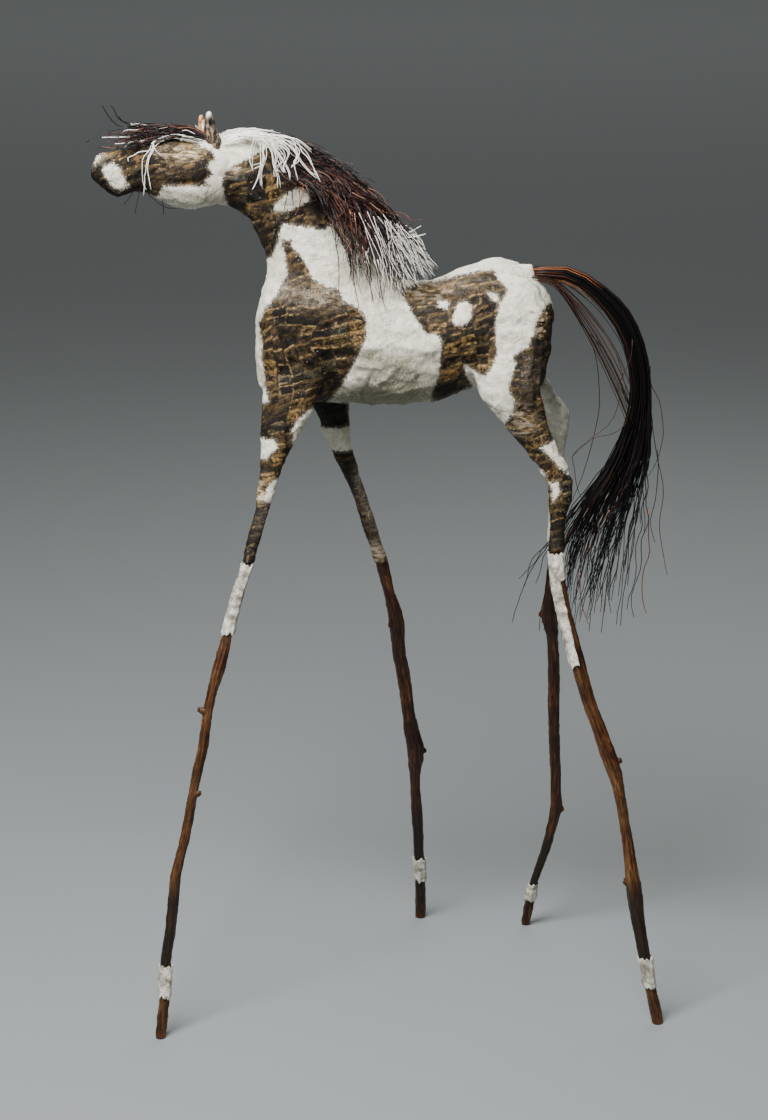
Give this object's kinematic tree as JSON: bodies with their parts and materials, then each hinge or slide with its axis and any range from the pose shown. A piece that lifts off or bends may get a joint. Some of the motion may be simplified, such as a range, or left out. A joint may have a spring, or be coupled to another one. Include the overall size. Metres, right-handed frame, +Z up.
{
  "type": "horse sculpture",
  "caption": "Standing papier-mache horse with a collaged paper skin, crooked twig legs with paper bands, and a forelock, mane and tail of wire.",
  "frame": {"origin": "on the floor, under the middle of the bounding box", "axes": "+Z up along the height, the horse faces -X, its left side faces -Y"},
  "size_m": [0.3735, 0.2312, 0.5921],
  "materials": {
    "collaged_paper": "matt, fibrous",
    "ear_bark": "matt",
    "stained_twig": "satin",
    "white_paper": "matt, fibrous",
    "mane_wire": "gloss enamel",
    "tail_wire": "gloss enamel"
  },
  "bodies": {
    "root": {"paper_body": "collaged_paper", "left_ear": "ear_bark", "right_ear": "ear_bark", "left_fore_stick": "stained_twig", "right_fore_stick": "stained_twig", "left_hind_stick": "stained_twig", "right_hind_stick": "stained_twig", "left_fore_cuff": "white_paper", "right_fore_cuff": "white_paper", "left_hind_cuff": "white_paper", "right_hind_cuff": "white_paper", "left_fore_knee_wrap": "white_paper", "left_hind_paper_strip": "white_paper", "forelock_wires": "mane_wire", "mane_wires": "mane_wire", "tail_wires": "tail_wire"}
  },
  "joints": []
}
